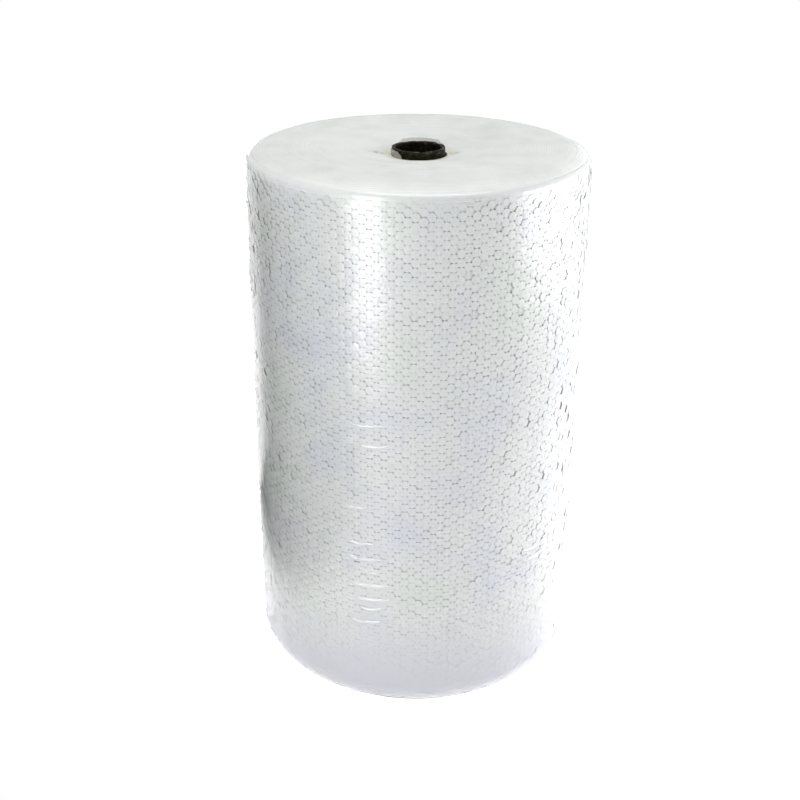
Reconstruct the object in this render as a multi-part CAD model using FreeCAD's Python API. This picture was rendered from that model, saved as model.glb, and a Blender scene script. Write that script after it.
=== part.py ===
"""Roll of small-bubble cushioning film, wound on a paperboard core and standing on one end.

The origin is on the roll's axis, at the end that it stands on, and +Z runs up the core.
Lengths are in millimetres and angles in degrees.
"""
import FreeCAD, Part
import math
import os

# Wound film, measured over its bubbles halfway round the outer turn
ROLL_DIAMETER = 464.0
SHEET_WIDTH = 750.0
SHEET_THICKNESS = 3.3
TAIL_ANGLE = 115.0

# Bubbles of the outer turn, which stand in columns along the axis
COLUMN_PITCH = 9.4
COLUMN_HEIGHT = 2.2
COLUMN_CROWN = 4.0

# Ends of the film, where a few turns at a time stand out or sink in
TURNS_PER_RIDGE = 5
RIDGE_DEPTH = 1.8
TOP_SHOULDER_WIDTH = 46.0
TOP_SHOULDER_DROP = 15.0
TOP_DISH_DEPTH = 14.0
BOTTOM_ROUND_RADIUS = 44.0
BOTTOM_ROUND_SLOPE = 18.0
BOTTOM_ROUND_BANDS = 5

# Paperboard core, cut a little shorter than the sheet is wide
CORE_BORE_DIAMETER = 63.0
CORE_WALL = 4.5
CORE_CUT_SHORT = 4.0
CORE_EDGE_BREAK = 0.6
WINDING_CLEARANCE = 0.15

# Worked out from the above
ROLL_RADIUS = ROLL_DIAMETER / 2
CORE_BORE_RADIUS = CORE_BORE_DIAMETER / 2
CORE_RADIUS = CORE_BORE_RADIUS + CORE_WALL
CORE_LENGTH = SHEET_WIDTH - CORE_CUT_SHORT
FILM_BORE_RADIUS = CORE_RADIUS + WINDING_CLEARANCE
PRESSED_RADIUS = ROLL_RADIUS - COLUMN_HEIGHT
BOTTOM_ROUND_HEIGHT = BOTTOM_ROUND_RADIUS * math.cos(math.radians(BOTTOM_ROUND_SLOPE))
BUBBLE_COLUMNS = round(math.pi * ROLL_DIAMETER / COLUMN_PITCH)
RIDGE_PITCH = TURNS_PER_RIDGE * SHEET_THICKNESS
TOOL_MARGIN = RIDGE_PITCH

# Fineness of the spiral curves
POINTS_PER_TURN = 24


def polar(radius, degrees, height=0.0):
    """Point at a radius and an angle round the roll's axis."""
    angle = math.radians(degrees)
    return FreeCAD.Vector(radius * math.cos(angle), radius * math.sin(angle), height)


def outer_turn_radius(degrees):
    """Radius of the film between its bubbles: the outer turn climbs by one thickness to its tail."""
    turns_past_middle = (degrees - TAIL_ANGLE) / 360.0 - 0.5
    return PRESSED_RADIUS + SHEET_THICKNESS * turns_past_middle


def winding_prism():
    """Outer turn with its columns of bubbles, and the step where the sheet's free end lies."""
    column_angle = 360.0 / BUBBLE_COLUMNS
    crown_angle = math.degrees(COLUMN_CROWN / ROLL_RADIUS)
    corners = []
    for column in range(BUBBLE_COLUMNS):
        start = TAIL_ANGLE + column * column_angle
        corners.append(polar(outer_turn_radius(start), start))
        for side in (-1, 1):
            crown = start + (column_angle + side * crown_angle) / 2
            corners.append(polar(outer_turn_radius(crown) + COLUMN_HEIGHT, crown))
    tail = TAIL_ANGLE + 360.0
    corners.append(polar(outer_turn_radius(tail), tail))
    corners.append(corners[0])
    outline = Part.Face(Part.makePolygon(corners))
    outline.translate(FreeCAD.Vector(0, 0, BOTTOM_ROUND_HEIGHT))
    return outline.extrude(FreeCAD.Vector(0, 0, SHEET_WIDTH - BOTTOM_ROUND_HEIGHT + TOOL_MARGIN))


def pressed_round():
    """Soft round of the end that the roll stands on, where its weight presses the bubbles flat.

    It is a few conical bands whose edges lie on one arc, which keeps the mesh light, and it starts
    inside the innermost place of the outer turn.
    """
    slope = math.radians(BOTTOM_ROUND_SLOPE)
    centre_radius = outer_turn_radius(TAIL_ANGLE) - BOTTOM_ROUND_RADIUS
    corners = [FreeCAD.Vector(0, 0, BOTTOM_ROUND_HEIGHT)]
    for step in range(BOTTOM_ROUND_BANDS + 1):
        turn = (math.pi / 2 - slope) * step / BOTTOM_ROUND_BANDS
        radius = centre_radius + BOTTOM_ROUND_RADIUS * math.cos(turn)
        height = BOTTOM_ROUND_HEIGHT - BOTTOM_ROUND_RADIUS * math.sin(turn)
        corners.append(FreeCAD.Vector(radius, 0, height))
    inner_radius = radius - TOOL_MARGIN / math.tan(slope)
    corners.append(FreeCAD.Vector(inner_radius, 0, -TOOL_MARGIN))
    corners.append(FreeCAD.Vector(0, 0, -TOOL_MARGIN))
    corners.append(corners[0])
    profile = Part.Face(Part.makePolygon(corners))
    return profile.revolve(FreeCAD.Vector(0, 0, 0), FreeCAD.Vector(0, 0, 1), 360)


def top_height(radius):
    """Height of the turns' upper edges: a dish towards the core and a soft outer shoulder."""
    shoulder_radius = ROLL_RADIUS - TOP_SHOULDER_WIDTH
    if radius > shoulder_radius:
        share = (radius - shoulder_radius) / TOP_SHOULDER_WIDTH
        return SHEET_WIDTH - TOP_SHOULDER_DROP * share ** 3
    share = (shoulder_radius - radius) / (shoulder_radius - FILM_BORE_RADIUS)
    return SHEET_WIDTH - TOP_DISH_DEPTH * share ** 2


def bottom_height(radius):
    """Height of the turns' lower edges, which stand on the floor."""
    return 0.0


def spiral(row, height, sink):
    """One turn of the winding's edge, from a radius that counts rows of half a ridge's pitch."""
    points = []
    for step in range(POINTS_PER_TURN + 1):
        share = step / POINTS_PER_TURN
        radius = CORE_BORE_RADIUS + RIDGE_PITCH * (row / 2 + share)
        points.append(polar(radius, TAIL_ANGLE + 360.0 * share, height(radius) - sink))
    curve = Part.BSplineCurve()
    curve.interpolate(points)
    return curve.toShape()


def end_surface(height, groove_depth):
    """Ruled ribbons from ridge to groove and back, turn into turn, from the bore past the roll's edge."""
    rows = math.ceil(2 * (ROLL_RADIUS - CORE_BORE_RADIUS) / RIDGE_PITCH) + 2
    curves = [spiral(row, height, groove_depth * (row % 2)) for row in range(-2, rows)]
    ribbons = [Part.makeRuledSurface(inner, outer) for inner, outer in zip(curves, curves[1:])]
    surface = Part.Shell(ribbons)
    surface.sewShape()
    return surface


def largest_piece(solid, surfaces):
    """What is left of a solid when surfaces slice the waste off its ends."""
    slices = solid.generalFuse(surfaces)[0]
    return max(slices.Solids, key=lambda piece: piece.Volume)


def bubble_film_roll():
    """All the turns as one solid, hollow where the core goes."""
    film = winding_prism().fuse(pressed_round())
    bore_foot = FreeCAD.Vector(0, 0, -TOOL_MARGIN)
    film = film.cut(Part.makeCylinder(FILM_BORE_RADIUS, SHEET_WIDTH + 2 * TOOL_MARGIN, bore_foot))
    top = end_surface(top_height, RIDGE_DEPTH)
    bottom = end_surface(bottom_height, -RIDGE_DEPTH)
    return largest_piece(film, [top, bottom])


def core_tube():
    """Paperboard tube, cut square, with the outer edges of both ends worn a little."""
    worn_radius = CORE_RADIUS - CORE_EDGE_BREAK
    corners = [
        FreeCAD.Vector(CORE_BORE_RADIUS, 0, 0),
        FreeCAD.Vector(worn_radius, 0, 0),
        FreeCAD.Vector(CORE_RADIUS, 0, CORE_EDGE_BREAK),
        FreeCAD.Vector(CORE_RADIUS, 0, CORE_LENGTH - CORE_EDGE_BREAK),
        FreeCAD.Vector(worn_radius, 0, CORE_LENGTH),
        FreeCAD.Vector(CORE_BORE_RADIUS, 0, CORE_LENGTH),
    ]
    wall = Part.Face(Part.makePolygon(corners + corners[:1]))
    return wall.revolve(FreeCAD.Vector(0, 0, 0), FreeCAD.Vector(0, 0, 1), 360)


os.makedirs("parts", exist_ok=True)
pieces = {
    "bubble_film_roll": bubble_film_roll(),
    "core_tube": core_tube(),
}
for name, shape in pieces.items():
    shape.exportStep(f"parts/{name}.step")
    print(name, shape.isValid(), len(shape.Solids), len(shape.Faces), round(shape.Volume), shape.BoundBox)
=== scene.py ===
"""Roll of small-bubble cushioning film on a paperboard core, standing on one end.

The pieces are modelled in millimetres round the roll's axis, with +Z up, and are turned to
metres when each is finished. Angles round the axis are counter-clockwise from +X.
"""
import bmesh
import bpy
import math
from mathutils import Matrix, Vector, noise


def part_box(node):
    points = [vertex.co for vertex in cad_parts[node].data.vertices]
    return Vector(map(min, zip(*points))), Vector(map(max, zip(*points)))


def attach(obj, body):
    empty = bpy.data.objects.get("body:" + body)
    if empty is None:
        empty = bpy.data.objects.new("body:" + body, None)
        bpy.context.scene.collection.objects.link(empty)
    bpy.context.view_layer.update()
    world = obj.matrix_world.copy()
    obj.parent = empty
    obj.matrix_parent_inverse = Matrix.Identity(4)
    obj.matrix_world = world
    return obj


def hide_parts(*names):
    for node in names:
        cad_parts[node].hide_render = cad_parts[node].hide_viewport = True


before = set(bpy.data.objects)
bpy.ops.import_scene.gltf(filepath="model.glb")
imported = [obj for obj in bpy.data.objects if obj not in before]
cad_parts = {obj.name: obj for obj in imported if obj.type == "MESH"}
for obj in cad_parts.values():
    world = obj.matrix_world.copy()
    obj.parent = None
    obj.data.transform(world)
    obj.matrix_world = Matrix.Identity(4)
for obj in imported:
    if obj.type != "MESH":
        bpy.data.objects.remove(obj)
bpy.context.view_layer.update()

# Core tube.
# A paperboard tube, wound from strips of board on a slant and glued, then cut to length. The film
# was wound straight onto it. It is dark with age and glue, and its cut rim is a little ragged.

METRES_PER_MM = 0.001
scale_to_mm = [1 / METRES_PER_MM] * 3
core_low, core_high = [corner / METRES_PER_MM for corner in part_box("core_tube")]
core_radius = core_high.x
core_length = core_high.z
core_wall = 4.5
ply_count = 4
ply_relief = 0.5
core_steps = 144
core_rings = [0.0, 3.0, 60.0, 180.0, 360.0, 560.0, 690.0, 722.0, 734.0, 740.0, 743.0, core_length]
ply_edges = (0.12, 0.88)
rim_wear_depth = 1.3
rim_wear_length = 9.0
rim_flare = 0.7
tatters_per_mm = 0.09
fine_tatters_per_mm = 0.35
flares_per_mm = 0.06


def srgb(code):
    """A colour written as an sRGB hex code, as the linear colour that a shader takes."""
    channels = [int(code[place:place + 2], 16) / 255 for place in (0, 2, 4)]
    linear = [c / 12.92 if c <= 0.04045 else ((c + 0.055) / 1.055) ** 2.4 for c in channels]
    return (*linear, 1.0)


def new_material(name):
    """An empty node material, with its tree and its output node."""
    material = bpy.data.materials.new(name)
    material.use_nodes = True
    tree = material.node_tree
    tree.nodes.clear()
    return material, tree, tree.nodes.new("ShaderNodeOutputMaterial")


def add_node(tree, kind, settings=None, values=None, links=None):
    """A shader node with its settings, the values of its sockets and the links that enter it."""
    node = tree.nodes.new("ShaderNode" + kind)
    for name, value in (settings or {}).items():
        setattr(node, name, value)
    for name, value in (values or {}).items():
        node.inputs[name].default_value = value
    for name, (source, output) in (links or {}).items():
        tree.links.new(source.outputs[output], node.inputs[name])
    return node


def colour_steps(node, steps):
    """Gives a Color Ramp node its colours, each at its place from 0 to 1."""
    ramp = node.color_ramp
    while len(ramp.elements) < len(steps):
        ramp.elements.new(0.5)
    for element, (place, code) in zip(ramp.elements, steps):
        element.position = place
        element.color = srgb(code)
    return node


def finished(mesh_in_mm, name, material, cad_node):
    """Turns a mesh in millimetres into a piece at the origin, with its finish and its body."""
    bmesh.ops.scale(mesh_in_mm, vec=Vector((1, 1, 1)) * METRES_PER_MM, verts=mesh_in_mm.verts)
    mesh = bpy.data.meshes.new(name)
    mesh_in_mm.to_mesh(mesh)
    mesh_in_mm.free()
    mesh.materials.append(material)
    mesh.polygons.foreach_set("use_smooth", [True] * len(mesh.polygons))
    piece = bpy.data.objects.new(name, mesh)
    bpy.context.scene.collection.objects.link(piece)
    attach(piece, "root")
    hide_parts(cad_node)
    return piece


def polar(radius, degrees, height):
    """Point at a radius and an angle round the roll's axis."""
    angle = math.radians(degrees)
    return Vector((radius * math.cos(angle), radius * math.sin(angle), height))


# Spiral-wound paperboard, glued and rubbed. The eye gets dark olive-brown board with the slanted
# seam between two strips, pale scuffs where fibres stand, and a dull shine where glue dried.
board_colours = [(0.0, "070503"), (0.45, "14100a"), (0.7, "2c2717"), (1.0, "665e45")]
board_fibre_mm = 6.0
board_grain_mm = 0.8
board, tree, output = new_material("paperboard_spiral_wound")
place = add_node(tree, "TexCoord")
in_mm = add_node(tree, "Mapping", values={"Scale": scale_to_mm}, links={"Vector": (place, "Object")})
fibre = add_node(tree, "TexNoise", values={"Scale": 1 / board_fibre_mm, "Detail": 6.0, "Roughness": 0.62},
                 links={"Vector": (in_mm, "Vector")})
grain = add_node(tree, "TexNoise", values={"Scale": 1 / board_grain_mm, "Detail": 3.0},
                 links={"Vector": (in_mm, "Vector")})
tone = add_node(tree, "ValToRGB", links={"Fac": (fibre, "Fac")})
colour_steps(tone, board_colours)
dullness = add_node(tree, "MapRange", values={"To Min": 0.22, "To Max": 0.6},
                    links={"Value": (fibre, "Fac")})
rough = add_node(tree, "Bump", values={"Strength": 0.5, "Distance": 0.0005},
                 links={"Height": (grain, "Fac")})
glue = add_node(tree, "MapRange", values={"From Min": 0.54, "From Max": 0.66, "To Max": 0.6},
                links={"Value": (fibre, "Fac")})
skin = add_node(tree, "BsdfPrincipled",
                values={"IOR": 1.5, "Specular IOR Level": 0.05, "Coat Roughness": 0.14},
                links={"Base Color": (tone, "Color"), "Roughness": (dullness, "Result"),
                       "Coat Weight": (glue, "Result"), "Normal": (rough, "Normal")})
tree.links.new(skin.outputs["BSDF"], output.inputs["Surface"])

tube = bmesh.new()
inner_side = [tube.verts.new((core_radius - core_wall, 0, height)) for height in core_rings]
plies = []
for ply in range(ply_count):
    for edge in ply_edges:
        radius = core_radius - core_wall * (1 - (ply + edge) / ply_count)
        plies.append(tube.verts.new((radius, 0, core_length - ply_relief * (ply % 2))))
outer_side = [tube.verts.new((core_radius, 0, height)) for height in reversed(core_rings)]
outline = inner_side + plies + outer_side
for start, end in zip(outline, outline[1:] + outline[:1]):
    tube.edges.new((start, end))
bmesh.ops.spin(tube, geom=tube.edges[:], cent=(0, 0, 0), axis=(0, 0, 1), angle=math.tau,
               steps=core_steps, use_merge=True)
bmesh.ops.remove_doubles(tube, verts=tube.verts, dist=0.001)
bmesh.ops.recalc_face_normals(tube, faces=tube.faces)
for vert in tube.verts:
    near_rim = max(0.0, 1 - (core_length - vert.co.z) / rim_wear_length)
    tatter = noise.noise(vert.co * tatters_per_mm) + 0.6 * noise.noise(vert.co * fine_tatters_per_mm)
    outwards = Vector((vert.co.x, vert.co.y, 0)).normalized()
    vert.co.z -= rim_wear_depth * near_rim ** 2 * max(0.0, tatter + 0.15)
    vert.co += outwards * rim_flare * near_rim ** 2 * noise.noise(vert.co * flares_per_mm)
finished(tube, "core_tube_board", board, "core_tube")

# Wound film: the ends of the roll.
# About 59 turns of one sheet, wound from the core outwards and never cut through, so the ends
# show one spiral edge. The turns stand a little proud or sunk, the inner ones lie in a dish.

film_low, film_high = [corner / METRES_PER_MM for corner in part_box("bubble_film_roll")]
sheet_width = film_high.z
sheet_thickness = 3.3
tail_angle = 115.0
winding_clearance = 0.15
film_bore = core_radius + winding_clearance
crown_radius = (film_high.x - film_low.x) / 2
crown_share = 0.43
bubble_height = 2.4
mean_plumpness = 0.93
top_shoulder_width = 46.0
top_shoulder_drop = 15.0
top_dish_depth = 14.0
end_steps = 216
points_per_turn = 4
groove_depth = 0.4
turn_unevenness = 0.6
mean_unevenness = 0.4
unevenness_per_turn = 1.7
end_waves_per_mm = 0.035
pinches_per_mm = 0.12
loose_shares = (0.915, 0.94, 0.985, 0.998)
loose_lift = 1.5
loose_sink = 4.5
loose_zone = (28.0, 12.0)
edge_tuck = 7.5
# Dents in the turns beside the core, which also carry painted shade: their middles and half widths in x and
# y, in mm.
dents_with_painted_shade = [(-54.0, -4.0, 10.0, 6.0), (48.0, 1.0, 7.0, 6.0)]
dent_depth = 1.5
shade_grain_per_mm = 0.2
groove_shade = 0.22


def smooth_step(low, high, value):
    """From 0 at low to 1 at high, without corners."""
    share = min(1.0, max(0.0, (value - low) / (high - low)))
    return share * share * (3 - 2 * share)


def looseness(share):
    """1 where the sheet's free end stands off the roll at the top, just before its edge."""
    rise_start, rise_end, fall_start, fall_end = loose_shares
    return smooth_step(rise_start, rise_end, share) * (1 - smooth_step(fall_start, fall_end, share))


def land_radius(share):
    """Radius of the sheet between its bubbles, at a share of the outer turn from tail to tail."""
    return crown_radius - mean_plumpness * bubble_height + sheet_thickness * (share - crown_share)


def top_height(radius):
    """Height of the turns' upper edges: a dish towards the core and a soft outer shoulder."""
    shoulder_radius = crown_radius - top_shoulder_width
    if radius > shoulder_radius:
        share = (radius - shoulder_radius) / top_shoulder_width
        return sheet_width - top_shoulder_drop * share ** 3
    share = (shoulder_radius - radius) / (shoulder_radius - film_bore)
    return sheet_width - top_dish_depth * share ** 2


def dent_and_shade_at(spot):
    """How dented the turns are at a spot, which sets their painted shade too, from the dents' middles and
    half widths.
    """
    shares = [((spot.x - x) / wide) ** 2 + ((spot.y - y) / deep) ** 2 for x, y, wide, deep in dents_with_painted_shade]
    return sum(math.exp(-share) for share in shares)


def spiral_end(outer_radius, height, side, edge_drop):
    """The spiral edge of the sheet from the core to a radius, wound from a flat grid.

    Across the grid lies one turn round the axis, and along it lie the turns. Its last column meets
    its first one turn further out, where they are joined. The outermost turns drop under the last.
    """
    turns = (outer_radius - film_bore) / sheet_thickness
    rows = int(turns * points_per_turn)
    end = bmesh.new()
    bmesh.ops.create_grid(end, x_segments=end_steps, y_segments=rows, size=0.5)
    shade = end.verts.layers.float.new("shade")
    for vert in end.verts:
        round_share = vert.co.x + 0.5
        row = round((vert.co.y + 0.5) * rows)
        turn = row / points_per_turn + round_share
        radius = film_bore + sheet_thickness * turn
        crest = 1 - abs(2 * (row % points_per_turn) / points_per_turn - 1)
        degrees = tail_angle + 360 * round_share
        at = polar(radius, degrees, 0)
        uneven = noise.noise(Vector((turn * unevenness_per_turn, 3.1, side)))
        waves = noise.noise(Vector((at.x, at.y, 9.0 * side)) * end_waves_per_mm)
        pinch = 0.35 * noise.noise(Vector((at.x, at.y, 2.0)) * pinches_per_mm)
        sink = groove_depth * (1 - crest) ** 2
        sink += turn_unevenness * (0.5 * uneven + 0.5 * waves + pinch + mean_unevenness)
        near_edge = smooth_step(outer_radius - loose_zone[0], outer_radius - loose_zone[1], radius)
        sink += loose_sink * looseness(round_share) * near_edge
        sink += edge_drop * smooth_step(-edge_tuck, 0.0, radius - land_radius(round_share))
        dent_and_shade = dent_and_shade_at(at)
        # Painted shade on the dents beside the core and in the grooves between turns, kept in the shade
        # attribute.
        dent_shade = dent_and_shade * (0.8 + noise.noise(at * shade_grain_per_mm))
        vert[shade] = min(1.0, dent_shade + groove_shade * (1 - crest) ** 2)
        vert.co = polar(radius, degrees, height(radius) - side * (sink + dent_depth * dent_and_shade))
    bmesh.ops.remove_doubles(end, verts=end.verts, dist=0.05)
    return end


# Blown low-density polyethylene film, seen on edge in a stack of turns. The eye gets a cool, milky
# white that light enters. Painted shade darkens the lines between turns and the dents beside the core,
# and a cream ring round the core is painted shade with the board's bounce light.
edge_colours = [(0.0, "cfd2cf"), (0.5, "e3e5e3"), (1.0, "eff0ee")]
edge_cloud_mm = 38.0
edge_grain_mm = 2.2
# Painted shade with the board's bounce light, as a cream ring round the core: from and to radius in mm.
core_shade_and_bounce_mm = (37.0, 58.0)
core_shade_and_bounce_colour = "d3d1bb"
# Painted shade in the grooves between turns and on the dents beside the core.
shade_colour = "a4a8a5"
film_edges, tree, output = new_material("polyethylene_film_turn_edges")
place = add_node(tree, "TexCoord")
in_mm = add_node(tree, "Mapping", values={"Scale": scale_to_mm}, links={"Vector": (place, "Object")})
cloud = add_node(tree, "TexNoise", values={"Scale": 1 / edge_cloud_mm, "Detail": 4.0},
                 links={"Vector": (in_mm, "Vector")})
tone = add_node(tree, "ValToRGB", links={"Fac": (cloud, "Fac")})
colour_steps(tone, edge_colours)
flat_place = add_node(tree, "VectorMath", settings={"operation": "MULTIPLY"}, links={0: (in_mm, "Vector")})
flat_place.inputs[1].default_value = (1, 1, 0)
from_axis = add_node(tree, "VectorMath", settings={"operation": "LENGTH"},
                     links={0: (flat_place, "Vector")})
core_shade_and_bounce = add_node(tree, "MapRange", settings={"interpolation_type": "SMOOTHSTEP"},
                     values={"From Min": core_shade_and_bounce_mm[0], "From Max": core_shade_and_bounce_mm[1],
                             "To Min": 0.8, "To Max": 0.0},
                     links={"Value": (from_axis, "Value")})
tint = add_node(tree, "Mix", settings={"data_type": "RGBA"},
                links={"Factor": (core_shade_and_bounce, "Result"), 6: (tone, "Color")})
tint.inputs[7].default_value = srgb(core_shade_and_bounce_colour)
shade = add_node(tree, "Attribute", settings={"attribute_name": "shade"})
tint = add_node(tree, "Mix", settings={"data_type": "RGBA"}, links={"Factor": (shade, "Fac"), 6: (tint, 2)})
tint.inputs[7].default_value = srgb(shade_colour)
grain = add_node(tree, "TexNoise", values={"Scale": 1 / edge_grain_mm, "Detail": 2.0},
                 links={"Vector": (in_mm, "Vector")})
rough = add_node(tree, "Bump", values={"Strength": 0.35, "Distance": 0.0006},
                 links={"Height": (grain, "Fac")})
skin = add_node(tree, "BsdfPrincipled", values={"IOR": 1.51, "Roughness": 0.42},
                links={"Normal": (rough, "Normal")})
tree.links.new(tint.outputs[2], skin.inputs["Base Color"])
tree.links.new(skin.outputs["BSDF"], output.inputs["Surface"])

foot_overlap = 5.0
under_outer_turn = 1.0
top_edge_drop = 5.0
round_radius = 44.0
round_slope = 18.0
round_height = round_radius * math.cos(math.radians(round_slope))
foot_radius = land_radius(0.5) - round_radius * (1 - math.sin(math.radians(round_slope)))

top_end = spiral_end(land_radius(0.5) - under_outer_turn, top_height, 1, top_edge_drop)
finished(top_end, "film_turns_top_end", film_edges, "bubble_film_roll")
bottom_end = spiral_end(foot_radius + foot_overlap, lambda radius: 0.0, -1, edge_drop=0.0)
bmesh.ops.reverse_faces(bottom_end, faces=bottom_end.faces)
finished(bottom_end, "film_turns_bottom_end", film_edges, "bubble_film_roll")

# Wound film: the outer turn.
# The last turn of the sheet, bubbles outwards, from its free end once round the roll. Its upper
# edge leans inwards over the turns below, and the roll's weight has rounded its lower edge.

circumference = math.tau * land_radius(0.5)
round_length = round_radius * math.radians(90 - round_slope)
lean_radius = 14.0
lean_start = 730.1
lean_turn = 60.0
wall_length = lean_start - round_height
lean_length = lean_radius * math.radians(lean_turn)
sheet_length = round_length + wall_length + lean_length
hem_length = 5.0
hem_lean = 0.15
wave_height = 1.1
waves_per_mm = 0.012
wave_stretch = 0.6
ripples_per_mm = 0.03
calm_height = 60.0
milky_foot = (35.0, 105.0)
milky_edge = (24.0, 10.0)
wall_columns = 310
wall_rows = 190


def wound(along, up, proud):
    """Where a point of the flat sheet lies on the roll, and which way its film faces there.

    The point is given along the sheet's length, up its width and proud of its film. Past its
    upper edge it hangs down behind it, where the turn below shows under the edge.
    """
    share = along / circumference
    degrees = tail_angle + 360 * share
    hem = max(0.0, up - sheet_length)
    up -= hem
    radius = land_radius(share)
    if up < round_length:
        turn = (round_length - up) / round_radius
        radius += round_radius * (math.cos(turn) - 1)
        height = round_height - round_radius * math.sin(turn)
        tilt = -turn
    elif up < round_length + wall_length:
        height = round_height + up - round_length
        tilt = 0.0
    else:
        loose = looseness(share)
        turn = (up - round_length - wall_length) / lean_radius
        radius += lean_radius * (math.cos(turn) - 1) * (1 - loose)
        height = lean_start + lean_radius * math.sin(turn) + loose_lift * loose * turn
        tilt = turn * (1 - loose)
    spot = polar(radius - hem_lean * hem, degrees, height - hem)
    wave = noise.noise(Vector((spot.x, spot.y, spot.z * wave_stretch)) * waves_per_mm)
    wave += 0.5 * noise.noise(spot * ripples_per_mm)
    offset = proud + smooth_step(0.0, calm_height, height) * wave_height * wave
    outwards = polar(math.cos(tilt), degrees, math.sin(tilt))
    return spot + outwards * offset, outwards


def pressed_film_unshaded(up):
    """How milky the film is between its bubbles, instead of greyed by painted shade: most where it is
    pressed flat near its edges.
    """
    low = 1 - smooth_step(milky_foot[0], milky_foot[1], up)
    high = smooth_step(sheet_length - milky_edge[0], sheet_length - milky_edge[1], up)
    return max(low, high)


# Blown low-density polyethylene film, drawn into bubbles. The eye gets milky white domes with a
# soft gloss and faint lavender and green casts. The greyer lands, the bubbles' feet and the lavender
# grey towards the floor are painted shade.
# Painted shade: the lands between the bubbles, and each bubble's foot, are greyer than the domes.
land_shade_colours = [(0.3, "b8bfbd"), (0.7, "c3c9c7")]
dome_colours = [(0.25, "cdd0da"), (0.5, "d8dbda"), (0.75, "d3dad3")]
# Painted shade: the film turns greyer and more lavender towards the floor, between these heights in mm.
foot_shade_colour = "c9c9d2"
foot_shade_mm = (25.0, 165.0)
cast_mm = 120.0
pucker_mm = 2.6
# Light goes on inside the film, so the sheet's own curve shades it as well as each bubble's. These
# are the sheet's shares, of the film's body and of its gloss.
evenness = 0.25
gloss_evenness = 0.62
film_skin, tree, output = new_material("polyethylene_film_bubbles")
place = add_node(tree, "TexCoord")
in_mm = add_node(tree, "Mapping", values={"Scale": scale_to_mm}, links={"Vector": (place, "Object")})
cast = add_node(tree, "TexNoise", values={"Scale": 1 / cast_mm, "Detail": 5.0, "Roughness": 0.6},
                links={"Vector": (in_mm, "Vector")})
dome_tone = colour_steps(add_node(tree, "ValToRGB", links={"Fac": (cast, "Fac")}), dome_colours)
land_shade_tone = colour_steps(add_node(tree, "ValToRGB", links={"Fac": (cast, "Fac")}), land_shade_colours)
milk_vs_painted_shade = add_node(tree, "Attribute", settings={"attribute_name": "milk_vs_painted_shade"})
tone = add_node(tree, "Mix", settings={"data_type": "RGBA"},
                links={"Factor": (milk_vs_painted_shade, "Fac"), 6: (land_shade_tone, "Color"), 7: (dome_tone, "Color")})
height = add_node(tree, "SeparateXYZ", links={"Vector": (in_mm, "Vector")})
low = add_node(tree, "MapRange", settings={"interpolation_type": "SMOOTHSTEP"},
               values={"From Min": foot_shade_mm[0], "From Max": foot_shade_mm[1], "To Min": 1.0, "To Max": 0.0},
               links={"Value": (height, "Z")})
tone = add_node(tree, "Mix", settings={"data_type": "RGBA"},
                links={"Factor": (low, "Result"), 6: (tone, 2)})
tone.inputs[7].default_value = srgb(foot_shade_colour)
faces = add_node(tree, "NewGeometry")
turned = add_node(tree, "MapRange", values={"To Min": 1.0, "To Max": -1.0},
                  links={"Value": (faces, "Backfacing")})
sheet = add_node(tree, "Attribute", settings={"attribute_name": "sheet_normal"})
sheet = add_node(tree, "VectorMath", settings={"operation": "SCALE"},
                 links={0: (sheet, "Vector"), "Scale": (turned, "Result")})
pucker = add_node(tree, "TexNoise", values={"Scale": 1 / pucker_mm, "Detail": 2.0},
                  links={"Vector": (in_mm, "Vector")})
bumps = []
for share, strength in ((evenness, 0.3), (gloss_evenness, 0.35)):
    evened = add_node(tree, "Mix", settings={"data_type": "VECTOR"}, values={"Factor": share},
                      links={4: (faces, "Normal"), 5: (sheet, "Vector")})
    evened = add_node(tree, "VectorMath", settings={"operation": "NORMALIZE"}, links={0: (evened, 1)})
    bumps.append(add_node(tree, "Bump", values={"Strength": strength, "Distance": 0.0009},
                          links={"Height": (pucker, "Fac"), "Normal": (evened, "Vector")}))
crinkle, glint = bumps
skin = add_node(tree, "BsdfPrincipled",
                values={"IOR": 1.51, "Roughness": 0.36, "Coat Weight": 1.0, "Coat Roughness": 0.22},
                links={"Base Color": (tone, 2), "Normal": (crinkle, "Normal"),
                       "Coat Normal": (glint, "Normal")})
tree.links.new(skin.outputs["BSDF"], output.inputs["Surface"])

wall = bmesh.new()
bmesh.ops.create_grid(wall, x_segments=wall_columns, y_segments=wall_rows, size=0.5)
milk_vs_painted_shade = wall.verts.layers.float.new("milk_vs_painted_shade")
sheet_normal = wall.verts.layers.float_vector.new("sheet_normal")
for vert in wall.verts:
    up = (vert.co.y + 0.5) * (sheet_length + hem_length)
    # Between the bubbles the sheet takes the lands' painted shade, save where it is pressed flat.
    vert[milk_vs_painted_shade] = pressed_film_unshaded(up)
    vert.co, vert[sheet_normal] = wound((vert.co.x + 0.5) * circumference, up, 0.0)
finished(wall, "film_outer_turn", film_skin, "bubble_film_roll")

# Wound film: the bubbles of the outer turn.
# Each bubble is a thimble of film drawn into a heated mould and sealed under a second film. They
# stand in columns along the core, every other column half a bubble lower.

column_count = 155
column_pitch = circumference / column_count
bubble_pitch = 11.32
bubble_radius = 6.0
bubble_steps = ((1.3, 1.0), (1.8, 0.95))
bubble_tip = 0.55
bubble_lean = 0.16
bubble_sides = 10
first_bubble = 0.25
seal_depth = 0.1
bubble_foot_unshaded = 0.45
foot_shade_fade_height = 2.4
usual_fill = 0.86
fill_spread = 0.14
slack_chance = -0.93
slack_fill = 0.45
pressed_foot = (85.0, 205.0)
pressed_foot_fill = 0.12
foot_raggedness = 30.0
pressed_edge = (42.0, 12.0)
pressed_edge_fill = 0.15
edge_raggedness = 12.0
patches_per_mm = 0.018
rows_per_piece = 23
row_count = int(sheet_length / bubble_pitch)


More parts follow.
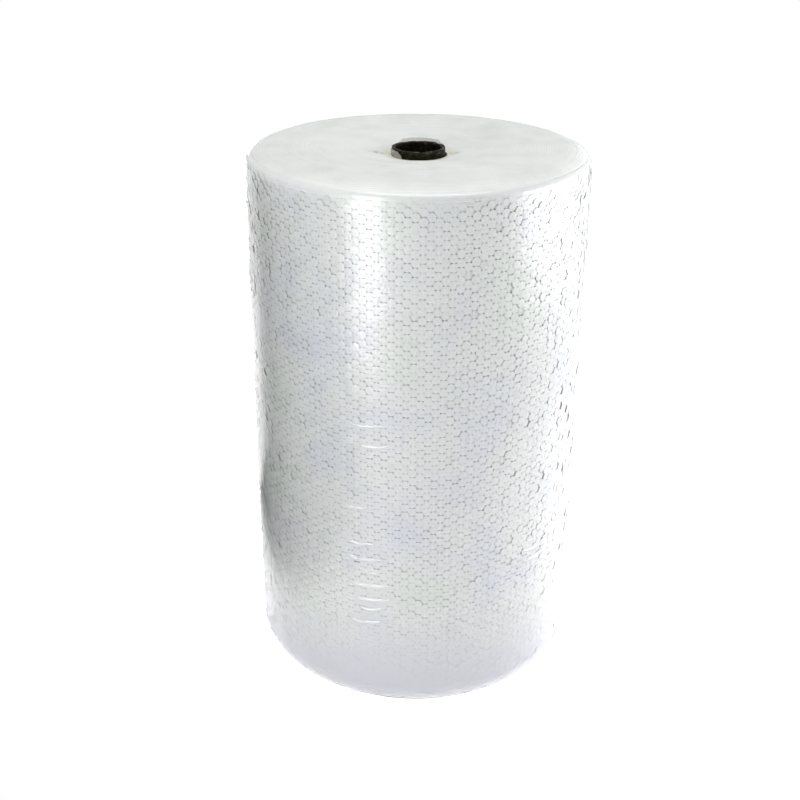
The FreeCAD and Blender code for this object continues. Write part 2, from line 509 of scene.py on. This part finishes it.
def plumpness(column, row, along, up):
    """How full a bubble is, from 0, pressed flat, to 1, by its place on the roll."""
    share = along / circumference
    spot, outwards = wound(along, up, 0.0)
    patch = noise.noise(spot * patches_per_mm)
    above_foot = smooth_step(pressed_foot[0], pressed_foot[1], up + foot_raggedness * patch)
    edge_start, edge_end = [sheet_length - distance for distance in pressed_edge]
    below_edge = 1 - smooth_step(edge_start, edge_end, up + edge_raggedness * patch)
    chance = noise.cell(Vector((column + 0.5, row + 0.5, 7.5)))
    full = usual_fill + fill_spread * chance
    if chance < slack_chance:
        full = slack_fill
    full *= pressed_foot_fill + (1 - pressed_foot_fill) * above_foot
    return full * (pressed_edge_fill + (1 - pressed_edge_fill) * below_edge)


def bubble_rows(first_row, last_row):
    """Rows of bubbles blown on the flat sheet and then wound onto the roll."""
    film = bmesh.new()
    bmesh.ops.create_circle(film, cap_ends=True, segments=bubble_sides, radius=bubble_radius)
    for inset, rise in bubble_steps:
        top = max(film.faces, key=lambda face: face.calc_center_median().z)
        bmesh.ops.inset_region(film, faces=[top], thickness=inset, depth=rise)
    top = max(film.faces, key=lambda face: face.calc_center_median().z)
    bmesh.ops.poke(film, faces=[top], offset=bubble_tip)
    bubble_verts = len(film.verts)
    bubble_edges = len(film.edges)
    bubble_faces = len(film.faces)
    places = [(column, row) for row in range(first_row, last_row) for column in range(column_count)]
    made = 1
    while made < len(places):
        more = min(made, len(places) - made)
        copied = film.verts[:more * bubble_verts] + film.edges[:more * bubble_edges]
        copied += film.faces[:more * bubble_faces]
        bmesh.ops.duplicate(film, geom=copied)
        made += more
        film.verts.ensure_lookup_table()
        film.edges.ensure_lookup_table()
        film.faces.ensure_lookup_table()
    milk_vs_painted_shade = film.verts.layers.float.new("milk_vs_painted_shade")
    sheet_normal = film.verts.layers.float_vector.new("sheet_normal")
    for index, (column, row) in enumerate(places):
        along = (column + 0.5) * column_pitch
        up = (row + first_bubble + 0.5 * (column % 2)) * bubble_pitch
        full = plumpness(column, row, along, up)
        whole = Vector((column + 0.5, row + 0.5, 1.5))
        lean = bubble_lean * noise.cell(whole)
        tip = bubble_lean * noise.cell(whole + Vector((0, 0, 1)))
        painted_shade_share = 1 - pressed_film_unshaded(up)
        for vert in film.verts[index * bubble_verts:(index + 1) * bubble_verts]:
            rise = vert.co.z
            x, y = vert.co.x, vert.co.y
            # Each bubble's foot is greyed towards the lands' painted shade.
            vert[milk_vs_painted_shade] = 1 - painted_shade_share * (1 - min(1.0, bubble_foot_unshaded + rise / foot_shade_fade_height))
            sunk = rise * full + rise * (tip * y + lean * x) / bubble_radius
            vert.co, vert[sheet_normal] = wound(along + x + lean * rise, up + y + tip * rise,
                                                sunk - seal_depth)
    return film


for part in range(0, row_count, rows_per_piece):
    film = bubble_rows(part, min(row_count, part + rows_per_piece))
    finished(film, f"film_bubbles_rows_{part + 1:02d}", film_skin, "bubble_film_roll")

# Wound film: creases of the outer turn.
# Where the roll was squeezed its film buckled, most of all low down at the front left, in short
# folds that run round the roll and pull the bubbles under them flat.

creases = [
    (245.7, 265.6, 257.0, 265.0, 3.2, 0.8),
    (244.7, 241.5, 260.1, 242.1, 4.0, 1.0),
    (251.0, 226.3, 259.3, 220.4, 3.0, 0.7),
    (246.4, 200.2, 263.1, 202.5, 4.2, 1.0),
    (245.9, 177.8, 263.9, 181.1, 3.8, 0.9),
    (251.4, 163.3, 260.2, 165.6, 3.0, 0.7),
    (246.8, 142.3, 259.7, 143.2, 3.4, 0.8),
    (248.0, 437.8, 261.0, 441.3, 2.8, 0.5),
    (252.0, 409.3, 264.0, 413.1, 2.8, 0.5),
    (246.0, 318.0, 256.0, 320.0, 2.8, 0.5),
    (311.2, 211.0, 325.8, 218.5, 3.4, 0.9),
    (309.5, 230.0, 319.5, 228.0, 3.0, 0.7),
    (320.5, 234.0, 326.5, 242.0, 3.0, 0.7),
]
crease_foot = 1.2
crease_rise = 3.0
crease_bow = 3.0
crease_wander = 1.2
end_width = 0.3
crease_steps = 26
crease_rows = 6

folds = bmesh.new()
milk_vs_painted_shade = folds.verts.layers.float.new("milk_vs_painted_shade")
for start_degrees, start_height, end_degrees, end_height, half_width, strength in creases:
    fold = bmesh.ops.create_grid(folds, x_segments=crease_steps, y_segments=crease_rows, size=0.5)
    for vert in fold["verts"]:
        share = vert.co.x + 0.5
        across = 2 * vert.co.y
        degrees = start_degrees + share * (end_degrees - start_degrees)
        height = start_height + share * (end_height - start_height) - crease_bow * 4 * share * (1 - share)
        height += crease_wander * noise.noise(Vector((degrees * 0.6, start_height, 0.0)))
        taper = math.sin(math.pi * share) ** 0.6
        rise = crease_foot + strength * crease_rise * taper * (1 - abs(across) ** 1.4)
        width = half_width * (end_width + (1 - end_width) * taper)
        up = round_length + height - round_height + across * width
        vert[milk_vs_painted_shade] = 1.0
        vert.co, outwards = wound((degrees - tail_angle) / 360 * circumference, up, rise)
finished(folds, "film_creases", film_skin, "bubble_film_roll")

# Wound film: the start of the sheet.
# The innermost turn, laid on the core. It stands above the others behind the core, and a tab of it
# clings to the core's side at the left.

start_edges = [
    (14.0, 736.0), (30.0, 746.0), (48.0, 749.5), (90.0, 750.0), (124.0, 749.5), (142.0, 744.0),
    (165.0, 741.0), (182.0, 744.5), (205.0, 745.5), (221.0, 744.5), (231.0, 741.0), (237.0, 735.0),
]
start_foot = 730.0
start_gap = 0.6
start_slack = 1.3
start_columns = 120
start_rows = 8


def start_edge(degrees):
    """Height of the inner turn's upper edge at an angle round the core."""
    for (before, low_edge), (after, high_edge) in zip(start_edges, start_edges[1:]):
        if degrees <= after:
            return low_edge + (high_edge - low_edge) * smooth_step(before, after, degrees)
    return start_edges[-1][1]


# One turn of polyethylene film on its own. The eye gets a thin grey-green skin over the dark board,
# clear enough to show it, and a white edge where it stands free.
single_colour = "d0d3c8"
single_pucker_mm = 2.5
film_single, tree, output = new_material("polyethylene_film_single_turn")
place = add_node(tree, "TexCoord")
in_mm = add_node(tree, "Mapping", values={"Scale": scale_to_mm}, links={"Vector": (place, "Object")})
pucker = add_node(tree, "TexNoise", values={"Scale": 1 / single_pucker_mm, "Detail": 2.0},
                  links={"Vector": (in_mm, "Vector")})
crinkle = add_node(tree, "Bump", values={"Strength": 0.5, "Distance": 0.0009},
                   links={"Height": (pucker, "Fac")})
skin = add_node(tree, "BsdfPrincipled",
                values={"Base Color": srgb(single_colour), "IOR": 1.51, "Roughness": 0.25, "Alpha": 0.55},
                links={"Normal": (crinkle, "Normal")})
tree.links.new(skin.outputs["BSDF"], output.inputs["Surface"])

inner_turn = bmesh.new()
bmesh.ops.create_grid(inner_turn, x_segments=start_columns, y_segments=start_rows, size=0.5)
for vert in inner_turn.verts:
    share = vert.co.x + 0.5
    rise = vert.co.y + 0.5
    degrees = start_edges[0][0] + share * (start_edges[-1][0] - start_edges[0][0])
    edge = start_edge(degrees) + 0.5 * noise.noise(Vector((degrees * 0.15, 5.0, 0.0)))
    height = start_foot + rise * (edge - start_foot)
    slack = start_slack * rise * (0.6 + noise.noise(Vector((degrees * 0.07, 0.0, 0.0))))
    vert.co = polar(core_radius + start_gap + slack, degrees, height)
finished(inner_turn, "film_inner_turn", film_single, "bubble_film_roll")

# Floor, light and camera.
# A pale studio floor under a white background, soft lights at the front left, right, back and top,
# and even light from all round. Black cloth at the left keeps the side that turns away from the
# lights darker, as it is in the photograph.

floor_half_width = 6.0
floor_mesh = bmesh.new()
bmesh.ops.create_grid(floor_mesh, x_segments=1, y_segments=1, size=floor_half_width)
mesh = bpy.data.meshes.new("studio_floor")
floor_mesh.to_mesh(mesh)
floor_mesh.free()
floor = bpy.data.objects.new("studio_floor", mesh)
bpy.context.scene.collection.objects.link(floor)


def seen_directly(tree):
    """1 for rays from the camera, also by way of gloss or clear film, and 0 for light that bounces."""
    ray = add_node(tree, "LightPath")
    glossy = add_node(tree, "Math", settings={"operation": "MAXIMUM"},
                      links={0: (ray, "Is Camera Ray"), 1: (ray, "Is Glossy Ray")})
    return add_node(tree, "Math", settings={"operation": "MAXIMUM"},
                    links={0: (glossy, "Value"), 1: (ray, "Is Transmission Ray")})


paper, tree, output = new_material("matt_white_paper")
lit = add_node(tree, "BsdfDiffuse", values={"Color": srgb("f4f4f4")})
glow = add_node(tree, "Emission", values={"Color": srgb("ffffff"), "Strength": 1.0})
white = add_node(tree, "AddShader", links={0: (lit, "BSDF"), 1: (glow, "Emission")})
either = add_node(tree, "MixShader",
                  links={"Fac": (seen_directly(tree), "Value"), 1: (lit, "BSDF"), 2: (white, "Shader")})
tree.links.new(either.outputs["Shader"], output.inputs["Surface"])
mesh.materials.append(paper)

world = bpy.data.worlds.new("studio")
bpy.context.scene.world = world
world.use_nodes = True
tree = world.node_tree
tree.nodes.clear()
output = add_node(tree, "OutputWorld")
place = add_node(tree, "TexCoord")
side = add_node(tree, "SeparateXYZ", links={"Vector": (place, "Generated")})
level = add_node(tree, "MapRange",
                 values={"From Min": -1.0, "From Max": 1.0, "To Min": 0.02, "To Max": 0.12},
                 links={"Value": (side, "X")})
soft = add_node(tree, "Background", values={"Color": srgb("fbfcff")}, links={"Strength": (level, "Result")})
white = add_node(tree, "Background", values={"Color": srgb("ffffff"), "Strength": 1.0})
sky = add_node(tree, "MixShader",
               links={"Fac": (seen_directly(tree), "Value"),
                      1: (soft, "Background"), 2: (white, "Background")})
tree.links.new(sky.outputs["Shader"], output.inputs["Surface"])

roll_centre = Vector((0, 0, sheet_width / 2)) * METRES_PER_MM


def softbox(name, azimuth, distance, low, high, width, watts):
    """An upright soft light at an azimuth from the front, clockwise seen from above."""
    light = bpy.data.lights.new(name, "AREA")
    light.shape = "RECTANGLE"
    light.size = width
    light.size_y = high - low
    light.energy = watts
    lamp = bpy.data.objects.new(name, light)
    bpy.context.scene.collection.objects.link(lamp)
    turn = Matrix.Rotation(math.radians(-azimuth), 4, "Z") @ Matrix.Rotation(math.radians(90), 4, "X")
    middle = Matrix.Translation((0, 0, (low + high) / 2))
    lamp.matrix_world = middle @ turn @ Matrix.Translation((0, 0, distance))


softbox("softbox_front_left", azimuth=29, distance=1.15, low=0.2, high=1.35, width=0.34, watts=8.9)
softbox("softbox_right", azimuth=-88, distance=1.15, low=0.32, high=1.15, width=0.9, watts=14)
softbox("softbox_back", azimuth=174, distance=1.6, low=0.08, high=0.72, width=1.0, watts=14)
overhead_width = 1.6
overhead_watts = 26
overhead_height = 2.4
overhead = bpy.data.lights.new("softbox_overhead", "AREA")
overhead.size = overhead_width
overhead.energy = overhead_watts
lamp = bpy.data.objects.new("softbox_overhead", overhead)
bpy.context.scene.collection.objects.link(lamp)
lamp.matrix_world = Matrix.Translation((0, 0, overhead_height))

flag_side = -0.74
flag_reach = (-0.9, 0.4)
flag_top = 0.58
flag_foot = 0.004
flag_inner_edge = -0.42
flag_mesh = bmesh.new()
corners = [[flag_mesh.verts.new((x, y, z)) for y in flag_reach]
           for x, z in ((flag_side, flag_top), (flag_side, flag_foot), (flag_inner_edge, flag_foot))]
for (low_start, low_end), (high_start, high_end) in zip(corners, corners[1:]):
    flag_mesh.faces.new((low_start, low_end, high_end, high_start))
mesh = bpy.data.meshes.new("black_flag")
flag_mesh.to_mesh(mesh)
flag_mesh.free()
flag = bpy.data.objects.new("black_flag", mesh)
bpy.context.scene.collection.objects.link(flag)
flag.visible_camera = False
cloth, tree, output = new_material("black_cloth")
lit = add_node(tree, "BsdfDiffuse", values={"Color": srgb("141414")})
tree.links.new(lit.outputs["BSDF"], output.inputs["Surface"])
mesh.materials.append(cloth)

camera_distance = 1.8568
camera_elevation = 24.083
camera_pan = 0.683
camera_roll = 0.745
camera_lens = 57.48
view = bpy.data.objects.new("camera", bpy.data.cameras.new("camera"))
bpy.context.scene.collection.objects.link(view)
view.data.lens = camera_lens
view.data.sensor_width = 36.0
view.matrix_world = (Matrix.Translation(roll_centre)
                     @ Matrix.Rotation(math.radians(90 - camera_elevation), 4, "X")
                     @ Matrix.Translation((0, 0, camera_distance))
                     @ Matrix.Rotation(math.radians(camera_pan), 4, "Y")
                     @ Matrix.Rotation(math.radians(camera_roll), 4, "Z"))
bpy.context.scene.camera = view
bpy.context.scene.view_settings.view_transform = "Standard"
